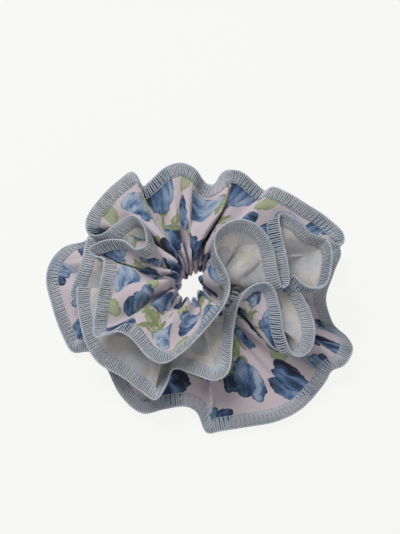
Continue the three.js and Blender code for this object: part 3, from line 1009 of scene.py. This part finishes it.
@dataclass(frozen=True)
class BlossomPrint:
    """A loose watercolour print of bell flowers, leaves and stems that repeats over the cloth.

    Attributes:
        ground: the unprinted ground.
        inks: the petals' colours, from the darkest shade to the lightest.
        leaf_dark: the darker green.
        leaf_light: the lighter one.
        repeat: the size of the repeat along and across the cloth, in millimetres.
        sprigs: the flowers, each printed over the ones before.
        pale_leaves: the loose leaves under them.
    """

    ground: Colour = srgb("D6CAD1")
    inks: tuple[tuple[float, Colour], ...] = (
        (0.0, srgb("19263A")),
        (0.25, srgb("2B4568")),
        (0.5, srgb("50729B")),
        (0.75, srgb("859DBA")),
        (1.0, srgb("AFBDCE")),
    )
    leaf_dark: Colour = srgb("68782F")
    leaf_light: Colour = srgb("AFB896")
    repeat: Pair = (62.0, 55.0)
    sprigs: tuple[Sprig, ...] = (
        Sprig((9, 11), 20, 20, 0.36),
        Sprig((31, 6), -35, 16, 0.74),
        Sprig((51, 22), 150, 20, 0.5),
        Sprig((27, 30), 75, 18, 0.62),
        Sprig((6, 40), -110, 16, 0.85),
        Sprig((43, 46), 10, 20, 0.38),
    )
    pale_leaves: tuple[Sprig, ...] = (
        Sprig((57, 37), -50, 13, 0.3),
        Sprig((23, 46), 35, 12, 0.7),
        Sprig((17, 22), 80, 10, 0.5),
    )

    def flower(self) -> bpy.types.NodeTree:
        """One flower, its calyx, stem and leaf, in a frame whose unit is the flower's height.

        The petals are ovals whose frame is bent by noise. Each petal has its own tone, and is darker along
        its rim, towards the tip and in streaks that run up the flower.
        """
        kit, given, made = new_group(
            "bell_flower",
            {"Point": "Vector", "Tone": "Float"},
            {"Petals": "Float", "Shade": "Float", "Green": "Float"},
        )
        point = given.outputs["Point"]
        moved = kit.vector("ADD", point, kit.scaled(kit.bend(point, 2.3, 3), 0.34))
        soft = kit.vector("MULTIPLY", moved, FLAT)
        rough = kit.vector("MULTIPLY_ADD", kit.bend(point, 9.0, 2), (0.09, 0.09, 0), soft)
        streaks = kit.noise(kit.vector("MULTIPLY", moved, (3.0, 1.2, 1.0)), 1.6, 3)
        fall = kit.math("MULTIPLY_ADD", kit.parts(soft)[1], -0.3, given.outputs["Tone"])
        petals: Input = 0.0
        shade: Input = 0.0
        for at, turn, size, tone in (
            # the left petal, the right one and the one in front
            ((-0.21, 0.06), 17, (0.24, 0.45), 0.16),
            ((0.2, 0.04), -20, (0.25, 0.46), -0.16),
            ((0.0, -0.02), 2, (0.23, 0.5), 0.02),
        ):
            away = kit.oval(rough, at, turn, size)
            inside = kit.ramp(away, 1.0, 0.96)
            rim = kit.ramp(away, 0.86, 0.98, 0.0, -0.34)
            own = kit.math("ADD", kit.math("ADD", rim, tone), fall)
            petals = kit.math("MAXIMUM", petals, inside)
            shade = kit.math("MULTIPLY_ADD", kit.math("SUBTRACT", own, shade), inside, shade)
        wash = kit.ramp(streaks, 0.3, 0.7, -0.3, 0.34)
        green = kit.ramp(kit.oval(soft, (0.05, -0.72), -6, (0.032, 0.36)), 1.1, 0.8)
        for at, turn, size in (
            # the calyx, the long leaf and the short one
            ((0.0, -0.46), 5, (0.14, 0.09)),
            ((0.18, -0.72), -42, (0.075, 0.24)),
            ((-0.11, -0.84), 38, (0.05, 0.18)),
        ):
            green = kit.math("MAXIMUM", green, kit.ramp(kit.oval(soft, at, turn, size), 1.05, 0.93))
        kit.put(made, "Petals", petals)
        kit.put(made, "Shade", kit.math("ADD", shade, wash, clamp=True))
        kit.put(made, "Green", green)
        return kit.tree

    def beside(self, kit: NodeKit, cloth: Socket, sprig: Sprig) -> Socket:
        """A place on the cloth in the frame of the nearest repeat of a sprig, whose unit is its size.

        The third part is the sprig's tone times 30, so the noises that read it differ from sprig to sprig.

        Args:
            cloth: the place on the flat cloth, in metres.
            sprig: the flower or leaf.

        Returns:
            The place in the sprig's frame.
        """
        wide, high = (side * MM for side in self.repeat)
        offset = kit.vector("SUBTRACT", cloth, (sprig.at[0] * MM, sprig.at[1] * MM, 0))
        folded = kit.vector("WRAP", offset, (wide / 2, high / 2, 1), (-wide / 2, -high / 2, -1))
        size = sprig.size * MM
        point = kit.placed(folded, (0, 0), sprig.turn, (size, size))
        return kit.vector("ADD", point, (0, 0, 30 * sprig.tone))

    def group(self) -> bpy.types.NodeTree:
        """The whole print: Cloth is the place on the flat cloth in metres."""
        kit, given, made = new_group("blossom_print", {"Cloth": "Vector"}, {"Colour": "Color"})
        flower = self.flower()
        cloth = given.outputs["Cloth"]
        colour: Input = self.ground
        patch = kit.noise(cloth, 60.0, 3)
        for leaf in self.pale_leaves:
            point = self.beside(kit, cloth, leaf)
            flat = kit.vector("MULTIPLY", point, FLAT)
            moved = kit.vector("MULTIPLY_ADD", kit.bend(point, 2.6, 3), (0.45, 0.45, 0), flat)
            away = kit.oval(moved, (0, 0), 0, (0.3, 0.5))
            wash = kit.mix(kit.ramp(away, 0.6, 1.0, 0.0, 0.45), self.leaf_light, self.leaf_dark)
            colour = kit.mix(kit.ramp(away, 1.0, 0.95), colour, wash)
        green = kit.mix(patch, self.leaf_dark, self.leaf_light)
        for sprig in self.sprigs:
            drawn = kit.use(flower, Point=self.beside(kit, cloth, sprig), Tone=sprig.tone)
            colour = kit.mix(drawn.outputs["Green"], colour, green)
            petal = kit.tones(drawn.outputs["Shade"], list(self.inks))
            colour = kit.mix(drawn.outputs["Petals"], colour, petal)
        kit.put(made, "Colour", colour)
        return kit.tree


def plain_weave() -> bpy.types.NodeTree:
    """A plain weave: warp and weft ribs that pass over each other by turns, with uneven yarns.

    Height is the greater of two waves, one for each yarn: a cosine along it times one across it, less the
    size of a sine across it. The second yarn's product has the other sign, so one goes over where the other
    goes under. Threads is the number of yarns to the metre.
    """
    kit, given, made = new_group(
        "plain_weave", {"Cloth": "Vector", "Threads": "Float"}, {"Height": "Float", "Tint": "Float"}
    )
    uneven = kit.scaled(kit.noise(given.outputs["Cloth"], 900.0, 1, colour=True), 0.00008)
    spot = kit.vector("ADD", given.outputs["Cloth"], uneven)
    turns = kit.math("MULTIPLY", given.outputs["Threads"], math.pi)
    u, v = (kit.math("MULTIPLY", part, turns) for part in list(kit.parts(spot))[:2])
    su, cu = kit.math("SINE", u), kit.math("COSINE", u)
    sv, cv = kit.math("SINE", v), kit.math("COSINE", v)
    over = kit.math("MULTIPLY", cu, cv)
    warp = kit.math("SUBTRACT", over, kit.math("ABSOLUTE", su))
    weft = kit.math("SUBTRACT", kit.math("MULTIPLY", over, -1.0), kit.math("ABSOLUTE", sv))
    height = kit.math("MAXIMUM", warp, weft)
    kit.put(made, "Height", kit.ramp(height, -1.0, 1.0))
    kit.put(made, "Tint", kit.noise(given.outputs["Cloth"], 1500.0, 2))
    return kit.tree


def twisted_thread() -> bpy.types.NodeTree:
    """The twist of a spun thread: slanting ridges in a coordinate of length along and turns round it.

    Height is a sine of the length, once for each lay, plus two turns for each turn round the thread.
    """
    kit, given, made = new_group("twisted_thread", {"Thread": "Vector"}, {"Height": "Float"})
    lay = 0.0009
    parts = kit.parts(given.outputs["Thread"])
    along = kit.math("MULTIPLY", parts[0], TURN / lay)
    around = kit.math("MULTIPLY", parts[1], 2 * TURN)
    ridge = kit.math("SINE", kit.math("ADD", along, around))
    kit.put(made, "Height", kit.ramp(ridge, -1.0, 1.0))
    return kit.tree


# ---------------------------------------------------------------------------------------------------------
# Finishes
# ---------------------------------------------------------------------------------------------------------


def new_material(name: str) -> tuple[bpy.types.Material, NodeKit, bpy.types.Node]:
    made = bpy.data.materials.new(name)
    made.use_nodes = True
    return made, NodeKit(made.node_tree), made.node_tree.nodes["Principled BSDF"]


def bumped(
    kit: NodeKit, shader: bpy.types.Node, height: Input, strength: float, distance: float
) -> None:
    """Feeds a height into the shader's normal.

    Args:
        kit: the material's kit.
        shader: its Principled shader.
        height: the height, from 0 to 1.
        strength: how much of the bump shows.
        distance: the depth that a height of 1 stands for, in metres.
    """
    bump = kit.tree.nodes.new("ShaderNodeBump")
    kit.put(bump, "Strength", strength)
    kit.put(bump, "Distance", distance)
    kit.put(bump, "Height", height)
    kit.put(shader, "Normal", bump.outputs[0])


@dataclass(frozen=True)
class Cotton:
    """Thin printed cotton, seen from one side.

    Attributes:
        name: the material's name.
        print_group: the print's node group.
        weave: the weave's node group.
        bare: the colour of the side where no ink shows.
        show: how much of the print shows on this side.
        yarns: how many yarns lie in a metre.
    """

    name: str
    print_group: bpy.types.NodeTree
    weave: bpy.types.NodeTree
    bare: Colour
    show: float
    yarns: float = 2800.0

    def material(self) -> bpy.types.Material:
        """The finish as a Blender material."""
        made, kit, shader = new_material(self.name)
        place = kit.unrolled()
        printed = kit.use(self.print_group, Cloth=place)
        woven = kit.use(self.weave, Cloth=place, Threads=self.yarns)
        colour = kit.mix(self.show, self.bare, printed.outputs["Colour"])
        fleck = kit.ramp(woven.outputs["Tint"], 0.3, 0.7, 0.0, 0.06)
        colour = kit.mix(fleck, colour, self.bare)
        kit.put(shader, "Base Color", colour)
        kit.put(shader, "Roughness", 0.85)
        kit.put(shader, "Sheen Weight", 0.08)
        kit.put(shader, "Specular IOR Level", 0.25)
        bumped(kit, shader, woven.outputs["Height"], 0.35, 0.00008)
        return made


@dataclass(frozen=True)
class Spun:
    """Sewing and overlocking thread.

    Attributes:
        name: the material's name.
        colour: its lighter colour.
        darker: its darker one.
        twist: the twist's node group.
        roughness: how matt it is.
    """

    name: str
    colour: Colour
    darker: Colour
    twist: bpy.types.NodeTree
    roughness: float = 0.55

    def material(self) -> bpy.types.Material:
        """The finish as a Blender material."""
        made, kit, shader = new_material(self.name)
        spun = kit.use(self.twist, Thread=kit.unrolled())
        spot = kit.tree.nodes.new("ShaderNodeTexCoord")
        mottle = kit.ramp(kit.noise(spot.outputs["Object"], 90.0, 3), 0.35, 0.65)
        kit.put(shader, "Base Color", kit.mix(mottle, self.colour, self.darker))
        kit.put(shader, "Roughness", self.roughness)
        bumped(kit, shader, spun.outputs["Height"], 0.4, 0.0001)
        return made


@dataclass(frozen=True)
class ElasticWeb:
    """Pale woven elastic: rubber cores under a close cotton cover.

    Attributes:
        name: the material's name.
        colour: the cover's colour on top of a yarn.
        weave: the weave's node group.
        yarns: how many yarns lie in a metre.
        groove_shade: the painted shade between two yarns: how dark the colour is there, as a share.
    """

    name: str
    colour: Colour
    weave: bpy.types.NodeTree
    yarns: float = 1600.0
    groove_shade: float = 0.7

    def material(self) -> bpy.types.Material:
        """The finish as a Blender material."""
        made, kit, shader = new_material(self.name)
        woven = kit.use(self.weave, Cloth=kit.unrolled(), Threads=self.yarns)
        # painted shade: the colour darkens from the top of a yarn down into the groove between two, by the
        # weave's height
        shade = kit.ramp(woven.outputs["Height"], 0.0, 1.0)
        between = tuple(self.groove_shade * part for part in self.colour)
        kit.put(shader, "Base Color", kit.mix(shade, between, self.colour))
        kit.put(shader, "Roughness", 0.7)
        bumped(kit, shader, woven.outputs["Height"], 0.5, 0.0002)
        return made


@dataclass(frozen=True)
class PlainMatt:
    """A plain matt surface, which may glow.

    Attributes:
        name: the material's name.
        colour: its colour.
        glow: how strongly it shines in that colour by itself.
        lit: the share of the colour that answers to the lamps.
    """

    name: str
    colour: Colour
    glow: float = 0.0
    lit: float = 1.0

    def material(self) -> bpy.types.Material:
        """The finish as a Blender material."""
        made, kit, shader = new_material(self.name)
        kit.put(shader, "Base Color", (*(part * self.lit for part in self.colour), 1))
        kit.put(shader, "Roughness", 0.9)
        kit.put(shader, "Emission Color", (*self.colour, 1))
        kit.put(shader, "Emission Strength", self.glow)
        return made


# ---------------------------------------------------------------------------------------------------------
# Thread
# ---------------------------------------------------------------------------------------------------------


@dataclass
class Overlock:
    """The overlocking of one edge: ribs of looper thread round the edge, a beaded edge and needle lines.

    Attributes:
        name: the piece's name.
        nodes: the frame's nodes that it stands for.
        strip: the strip that it is sewn on.
        at_upper: whether it is on the strip's upper edge.
        pitch: distance from rib to rib along the edge.
        band: how far in from the edge it reaches.
        thread_r: radius of the looper threads.
        bead_r: mean radius of the beaded edge.
        needle_r: mean radius of the needle lines.
        rib_points: how many points of a rib lie on each side of the cloth.
    """

    name: str
    nodes: tuple[str, ...]
    strip: ClothStrip
    at_upper: bool
    pitch: float = 0.00118
    band: float = 0.0064
    thread_r: float = 0.0004
    bead_r: float = 0.00046
    needle_r: float = 0.00021
    rib_points: int = 5

    def columns_from_edge(self, where: np.ndarray) -> tuple[np.ndarray, np.ndarray]:
        """The strip's surface and normals from the edge inwards, at places along the strip."""
        strip = self.strip
        rows = slice(0, strip.upper_rows) if self.at_upper else slice(-1, -strip.lower_rows - 1, -1)
        return across_columns(strip.grid[:, rows], where), across_columns(strip.normals[:, rows], where)

    def on_cloth(self, where: np.ndarray, inset: np.ndarray, lift: np.ndarray) -> np.ndarray:
        """Points on the cloth: so far in from the edge, and so far off its middle.

        Args:
            where: the place of each point along the strip, in turns, threads by points.
            inset: distance in from the edge along the cloth, threads by points.
            lift: distance from the cloth's middle, towards its right side, threads by points.

        Returns:
            The points, threads by points by 3.
        """
        grid, normals = self.columns_from_edge(where.ravel())
        along = open_lengths(grid)
        steps = np.diff(along, axis=1)
        wanted = np.maximum(inset.ravel(), 0)[:, None]
        row = np.clip((along <= wanted).sum(1) - 1, 0, along.shape[1] - 2)
        pick = np.arange(len(grid))
        share = (wanted[:, 0] - along[pick, row]) / np.maximum(steps[pick, row], 1e-9)
        share = np.clip(share, 0, 1)[:, None]
        place = grid[pick, row] * (1 - share) + grid[pick, row + 1] * share
        normal = unit(normals[pick, row] * (1 - share) + normals[pick, row + 1] * share)
        outwards = unit(grid[:, 0] - grid[:, 1])
        beyond = np.maximum(-inset.ravel(), 0)[:, None]
        place = place + normal * lift.ravel()[:, None] + outwards * beyond
        return place.reshape(*where.shape, 3)

    def edge_lengths(self) -> np.ndarray:
        """Distance along the edge to each column, and all the way round."""
        return loop_lengths(self.strip.grid[:, 0 if self.at_upper else -1])

    def places(self, count: int) -> np.ndarray:
        """Places along the strip, in turns, that are equal steps apart along the edge itself."""
        along = self.edge_lengths()
        turns = np.arange(len(along)) / (len(along) - 1)
        return np.interp(np.arange(count) / count * along[-1], along, turns)

    def rib_count(self) -> int:
        """How many ribs go round the edge."""
        return int(round(self.edge_lengths()[-1] / self.pitch))

    def ribs(self) -> Quads:
        """The looper threads: each crosses the band, goes round the edge and comes back on the other side.

        Its ends sink into the cloth and lean along the edge, to one side and the other by turns.
        """
        count = self.rib_count()
        centre = self.places(count)
        step = 1.0 / count
        n = self.rib_points
        over = self.strip.thickness / 2 + self.thread_r * 0.8
        beyond = 0.0004
        inwards = np.linspace(beyond, self.band, n)
        inset = np.concatenate([inwards[::-1], [-beyond], inwards])
        lift = np.concatenate([np.full(n, over), [0.0], np.full(n, -over)])
        lift[[0, -1]] *= 0.3
        slant = np.linspace(0, 0.14, n)
        slant = np.concatenate([slant[::-1], [0.0], slant])
        sway = np.where(np.arange(count) % 2 == 0, 1.0, -1.0)[:, None]
        where = centre[:, None] + slant[None, :] * sway * step
        paths = self.on_cloth(
            where, np.broadcast_to(inset, where.shape), np.broadcast_to(lift, where.shape)
        )
        ends = np.stack([centre - step / 2, centre + step / 2], axis=1)
        edge = self.on_cloth(ends, np.zeros(ends.shape), np.zeros(ends.shape))
        sideways = unit(edge[:, 1] - edge[:, 0])[:, None, :]
        return thread_tubes(paths, sideways, self.thread_r, 4, False)

    def line(self, inset: float, lift: float, radius: float, bump: float, sides: int) -> Quads:
        """A thread that runs along the edge, thicker once at each rib.

        Args:
            inset: its distance in from the edge.
            lift: its distance from the cloth's middle, towards the right side.
            radius: its mean radius.
            bump: how much thicker it is at a rib, as a share.
            sides: how many faces go round it.

        Returns:
            The thread's faces.
        """
        samples = 3 * self.rib_count()
        where = self.places(samples)[None, :]
        path, below = (
            self.on_cloth(where, np.full(where.shape, inset), np.full(where.shape, lift - drop))
            for drop in (0.0, MM)
        )
        size = radius * (1 + bump * np.where(np.arange(samples) % 3 == 0, 1.0, -0.5))
        return thread_tubes(path, path - below, size[None, :], sides, True)

    def build(self, thread: bpy.types.Material) -> bpy.types.Object:
        """Makes the overlocking of this edge as one piece.

        Args:
            thread: the thread's material.

        Returns:
            The piece.
        """
        over = self.strip.thickness / 2 + self.needle_r
        needle_inset, bead_inset = self.band - 0.0002, -0.0003
        parts = [
            self.ribs(),
            self.line(bead_inset, 0.0, self.bead_r, 0.22, 6),
            self.line(needle_inset, over, self.needle_r, 0.35, 4),
            self.line(needle_inset, -over, self.needle_r, 0.35, 4),
        ]
        return Quads.joined(parts).to_object(self.name, [thread])


@dataclass
class ChannelStitch:
    """One row of straight stitches through both strips, beside the elastic.

    The needle thread lies on the inner strip's printed side and the bobbin thread on the outer strip's.
    Both follow the gathers.

    Attributes:
        name: the piece's name.
        nodes: the frame's nodes that it stands for.
        strips: the inner and the outer strip.
        above: whether it runs above the elastic.
        offset: its distance from the channel's middle across the flat cloth.
        thread_r: the threads' radius.
        stitches: how many stitches go round.
    """

    name: str
    nodes: tuple[str, ...]
    strips: tuple[ClothStrip, ClothStrip]
    above: bool
    offset: float
    thread_r: float = 0.00024
    stitches: int = 210

    def build(self, thread: bpy.types.Material) -> bpy.types.Object:
        """Makes the row's two threads as one piece.

        Args:
            thread: the thread's material.

        Returns:
            The piece.
        """
        samples = 6 * self.stitches
        where = np.arange(samples) / samples
        level = self.offset if self.above else -self.offset
        parts = []
        for strip in self.strips:
            row = int(np.argmin(np.abs(strip.across - level)))
            cloth = across_columns(strip.grid[:, row], where)
            facing = unit(across_columns(strip.normals[:, row], where))
            parts.append(strip.sewn_thread(cloth, facing, where * self.stitches, self.thread_r, True))
        return Quads.joined(parts).to_object(self.name, [thread])


@dataclass
class StripSeam:
    """The seam that closes a strip into a loop: chained stitches across the cloth on its wrong side.

    Attributes:
        name: the piece's name.
        nodes: the frame's nodes that it stands for.
        strip: the strip that it closes.
        thread_r: the threads' radius.
        stitch: the length of a stitch.
        spread: the distance between the two threads.
    """

    name: str
    nodes: tuple[str, ...]
    strip: ClothStrip
    thread_r: float = 0.00026
    stitch: float = 0.0024
    spread: float = 0.0012

    def build(self, thread: bpy.types.Material) -> bpy.types.Object:
        """Makes two threads that run side by side from edge to edge.

        Args:
            thread: the thread's material.

        Returns:
            The piece.
        """
        parts = []
        for side in (-0.5, 0.5):
            column = side * self.spread / self.strip.flat_length
            grid = across_columns(self.strip.grid, np.array([column]))[0]
            facing = unit(across_columns(self.strip.normals, np.array([column])))[0]
            along = open_lengths(grid)
            reached = np.linspace(0, along[-1], int(6 * along[-1] / self.stitch))
            cloth, out = (
                np.stack([np.interp(reached, along, row[:, k]) for k in range(3)], axis=1)
                for row in (grid, facing)
            )
            beats = reached / self.stitch
            parts.append(self.strip.sewn_thread(cloth, unit(out), beats, self.thread_r, False))
        return Quads.joined(parts).to_object(self.name, [thread])


@dataclass
class Elastic:
    """The flat woven elastic in the channel, and the zigzag that joins its ends.

    Attributes:
        outer_r: radius of its outer face.
        low: height of its lower edge.
        high: height of its upper edge.
        join_turn: where the zigzag lies, in radians anticlockwise from +X.
        thickness: its thickness.
        columns: how many columns of vertices go round.
        ribs: how many ribs lie across it.
        rib_depth: how deep the grooves between them are.
        crimp: how far every second column stands out on each face.
        join_length: the zigzag's length round the ring.
        join_width: its width.
        join_off: its distance from the outer face.
        thread_r: radius of its thread.
    """

    outer_r: float
    low: float
    high: float
    join_turn: float
    thickness: float = 0.001
    columns: int = 480
    ribs: int = 7
    rib_depth: float = 0.00012
    crimp: float = 0.00004
    join_length: float = 0.012
    join_width: float = 0.0066
    join_off: float = 0.0005
    thread_r: float = 0.0002

    def band(self, web: bpy.types.Material) -> bpy.types.Object:
        """The ring: rounded ribs run along both faces, crossed by the crimp of the weft.

        The section goes up the outer face and down the inner one. Each face swells once for each rib, by
        the size of a sine, and is rounded off at its edges by the root of one less an eighth power. Round
        the ring, both faces stand out and in by a cosine of four columns.

        Args:
            web: the elastic's material.

        Returns:
            The piece.
        """
        rows = 6 * self.ribs + 1
        rise = np.linspace(0, 1, rows)
        swell = self.rib_depth * (np.abs(np.sin(np.pi * self.ribs * rise)) - 1)
        half = self.thickness / 2
        middle = self.outer_r - half
        thin = np.sqrt(np.clip(1 - np.abs(2 * rise - 1) ** 8, 0.04, 1))
        reach = (half + swell) * thin
        r = np.concatenate([middle + reach, (middle - reach)[::-1]])
        z = np.concatenate([rise, rise[::-1]]) * (self.high - self.low) + self.low
        turn = np.arange(self.columns) / self.columns * TURN
        crimp = self.crimp * np.cos(turn * self.columns / 4)
        radius = r[None, :] + crimp[:, None] * np.sign(r - middle)[None, :]
        x, y = radius * np.cos(turn)[:, None], radius * np.sin(turn)[:, None]
        grid = np.stack([x, y, np.broadcast_to(z, radius.shape)], axis=-1)
        faces = grid_faces(self.columns, 2 * rows, True, True)
        u = np.arange(self.columns + 1) / self.columns * TURN * middle
        v = np.arange(2 * rows + 1) * (self.high - self.low) / rows
        ring = Quads(grid.reshape(-1, 3), faces, grid_uv(u, v), np.zeros(len(faces)))
        return ring.to_object("elastic", [web])

    def zigzag(self, thread: bpy.types.Material) -> bpy.types.Object:
        """Three zigzag passes of thread over the overlapped ends, just outside the elastic.

        Each pass is a triangle wave of six beats, a third of a beat after the one before.

        Args:
            thread: the thread's material.

        Returns:
            The piece.
        """
        shift = np.array([0.0, 0.33, 0.66])[:, None]
        share = np.linspace(-0.5, 0.5, 61)[None, :]
        beat = np.arcsin(np.sin(TURN * (6 * share + shift))) * 2 / np.pi
        turn = self.join_turn + share * self.join_length / self.outer_r
        r = self.outer_r + self.join_off + self.thread_r / 2 * shift
        z = (self.low + self.high) / 2 + beat * self.join_width / 2
        path = np.stack([r * np.cos(turn), r * np.sin(turn), z], axis=-1)
        tubes = thread_tubes(path, unit(path * [1, 1, 0]), self.thread_r, 4, False)
        return tubes.to_object("elastic_join_thread", [thread])


# ---------------------------------------------------------------------------------------------------------
# Studio
# ---------------------------------------------------------------------------------------------------------


@dataclass
class Studio:
    """The camera, the pale floor and the soft light.

    Attributes:
        lens: the camera's focal length in millimetres.
        distance: how far it stands from its aim.
        elevation: how steeply it looks down, in degrees.
        aim: the place that it looks at.
        surround: strength of the light from all round.
        backdrop: how bright the surround looks behind the floor.
        floor_half: half of the floor's width.
    """

    lens: float = 85.0
    distance: float = 0.66
    elevation: float = 60.0
    aim: tuple[float, float, float] = (0.0042, 0.0102, 0.026)
    surround: float = 0.19
    backdrop: float = 0.93
    floor_half: float = 3.0

    def camera(self) -> None:
        """Puts the camera in front, looking down at the scrunchie."""
        data = bpy.data.cameras.new("camera")
        data.lens = self.lens
        camera = linked("camera", data)
        lift = math.radians(self.elevation)
        back = Vector((0, -math.cos(lift), math.sin(lift)))
        camera.location = Vector(self.aim) + back * self.distance
        camera.rotation_euler = back.to_track_quat("Z", "Y").to_euler()
        bpy.context.scene.camera = camera
        bpy.context.scene.view_settings.view_transform = "Standard"

    def floor(self) -> None:
        """A wide plain floor, pale and almost without shadow."""
        mesh = bpy.data.meshes.new("floor")
        far = self.floor_half
        corners = [(-far, -far, 0), (far, -far, 0), (far, far, 0), (-far, far, 0)]
        mesh.from_pydata(corners, [], [(0, 1, 2, 3)])
        floor = linked("floor", mesh)
        white = PlainMatt("floor_white", (0.93, 0.93, 0.915), glow=0.94, lit=0.06)
        mesh.materials.append(white.material())

    def light(self) -> None:
        """A large soft lamp above, a fill from the front and an even pale surround."""
        world = bpy.data.worlds.new("surround")
        world.use_nodes = True
        kit = NodeKit(world.node_tree)
        shade = world.node_tree.nodes["Background"]
        seen = world.node_tree.nodes.new("ShaderNodeLightPath").outputs["Is Camera Ray"]
        kit.put(shade, "Color", (1.0, 0.99, 0.97, 1))
        strength = kit.math("MULTIPLY_ADD", seen, self.backdrop - self.surround, self.surround)
        kit.put(shade, "Strength", strength)
        bpy.context.scene.world = world
        for name, place, size, power in (
            ("key", (-0.35, 0.45, 1.0), 0.7, 8.9),
            ("fill", (0.6, -0.8, 0.7), 0.9, 2.0),
        ):
            data = bpy.data.lights.new(name, "AREA")
            data.size = size
            data.energy = power
            lamp = linked(name, data)
            lamp.location = place
            lamp.rotation_euler = Vector(place).to_track_quat("Z", "Y").to_euler()


# ---------------------------------------------------------------------------------------------------------
# The scrunchie
# ---------------------------------------------------------------------------------------------------------


def halves(stem: str) -> tuple[str, str]:
    """The two nodes of a ring that the frame cuts into a near and a far half."""
    return f"{stem}_near", f"{stem}_far"


def fit_to_frame(piece: bpy.types.Object, nodes: tuple[str, ...]) -> None:
    """Lets a finished piece stand for its nodes, which it hides, with its transform baked, and reports it.

    Args:
        piece: the finished piece.
        nodes: the frame's nodes that it stands for.
    """
    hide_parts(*nodes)
    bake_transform(piece)
    LOG.info("%s: %d faces, for %s", piece.name, len(piece.data.polygons), ", ".join(nodes))


def middle_turn(node: str) -> float:
    """The turn of a node's middle about the hole, in radians anticlockwise from +X."""
    low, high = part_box(node)
    return math.atan2(low.y + high.y, low.x + high.x)


@dataclass(frozen=True)
class Finishes:
    """The scrunchie's materials.

    Attributes:
        right: the cloth's printed side.
        wrong: its other side, where the print shows through.
        overlock: the overlocking thread.
        sewing: the sewing thread.
        web: the elastic.
    """

    right: bpy.types.Material
    wrong: bpy.types.Material
    overlock: bpy.types.Material
    sewing: bpy.types.Material
    web: bpy.types.Material

    @staticmethod
    def made() -> Finishes:
        """Builds each shared node group once, and the materials from them."""
        blossom = BlossomPrint()
        print_group = blossom.group()
        weave = plain_weave()
        twist = twisted_thread()
        return Finishes(
            right=Cotton("printed_cotton", print_group, weave, blossom.ground, 1.0).material(),
            wrong=Cotton("cotton_wrong_side", print_group, weave, srgb("D2CECB"), 0.27).material(),
            overlock=Spun("overlock_thread", srgb("CDD3DB"), srgb("B9C3CE"), twist).material(),
            sewing=Spun("sewing_thread", srgb("D2CBD2"), srgb("C2BBC4"), twist).material(),
            web=ElasticWeb("elastic_web", srgb("E4E0DA"), weave).material(),
        )


def inner_strip(channel_z: float) -> ClothStrip:
    """The strip round the hole: its printed side faces the hole, and its lower ruffle is hidden.

    Args:
        channel_z: height of the channel's middle.

    Returns:
        The strip, worked out.
    """
    folds = low_scallops(folds=11, radius=59, swing=4, height=3.5, middle=(4, 5))
    return ClothStrip(
        "inner_strip",
        Ruffle(INNER_TOP, Facing.UPPER, rise=0.015, follow=0.6, blur=0.05, echo=0.6, depth=0.004),
        Ruffle(folds, Facing.LOWER, rise=0.015, stand=0.2, depth=0.0016),
        wall_r=0.0134,
        wall_z=channel_z,
        wall_half=0.0058,
        gathers=17,
        depth=0.0024,
        narrowing=0.0048,
        narrow_turn=-28,
        front_ease=0.5,
        right_side_in=True,
        seam_turn=math.degrees(middle_turn("inner_strip_seam")),
    )


def outer_strip(channel_z: float) -> ClothStrip:
    """The strip outside the elastic: its upper ruffle shows the wrong side, and its lower one the print.

    Args:
        channel_z: height of the channel's middle.

    Returns:
        The strip, worked out.
    """
    return ClothStrip(
        "outer_strip",
        Ruffle(OUTER_TOP, Facing.UPPER, rise=0.006, lean=4, stand=0.7, level=0.031, depth=0.0014),
        Ruffle(OUTER_BOTTOM, Facing.LOWER, rise=0.015, lean=4, stand=0.3, depth=0.0036, fade=0.058),
        wall_r=0.0238,
        wall_z=channel_z,
        wall_half=0.0052,
        gathers=20,
        depth=0.003,
        right_side_in=False,
        seam_turn=math.degrees(middle_turn("outer_strip_seam")),
    )


def main() -> None:
    """Builds the scrunchie piece by piece around the frame."""
    studio = Studio()
    studio.camera()
    studio.floor()
    studio.light()
    finishes = Finishes.made()
    low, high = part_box("elastic_far")
    channel_z = (low.z + high.z) / 2
    inner = inner_strip(channel_z)
    outer = outer_strip(channel_z)
    for strip in (inner, outer):
        cloth = strip.build(finishes.right, finishes.wrong)
        fit_to_frame(cloth, halves(strip.name))
        for level, at_upper in (("top", True), ("bottom", False)):
            stem = f"overlock_{strip.name.split('_')[0]}_{level}"
            overlock = Overlock(stem, halves(stem), strip, at_upper)
            fit_to_frame(overlock.build(finishes.overlock), overlock.nodes)
        seam = StripSeam(f"{strip.name}_seam_stitches", (f"{strip.name}_seam",), strip)
        fit_to_frame(seam.build(finishes.sewing), seam.nodes)
    for level, above in (("upper", True), ("lower", False)):
        stem = f"channel_stitch_{level}"
        row_low, row_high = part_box(f"{stem}_far")
        offset = abs((row_low.z + row_high.z) / 2 - channel_z)
        stitch = ChannelStitch(stem, halves(stem), (inner, outer), above, offset)
        fit_to_frame(stitch.build(finishes.sewing), stitch.nodes)
    elastic = Elastic(high.y, low.z, high.z, middle_turn("elastic_join_zigzag"))
    fit_to_frame(elastic.band(finishes.web), halves("elastic"))
    fit_to_frame(elastic.zigzag(finishes.sewing), ("elastic_join_zigzag",))


if __name__ == "__main__":
    logging.basicConfig(level=logging.INFO, format="%(name)s: %(message)s")
    main()
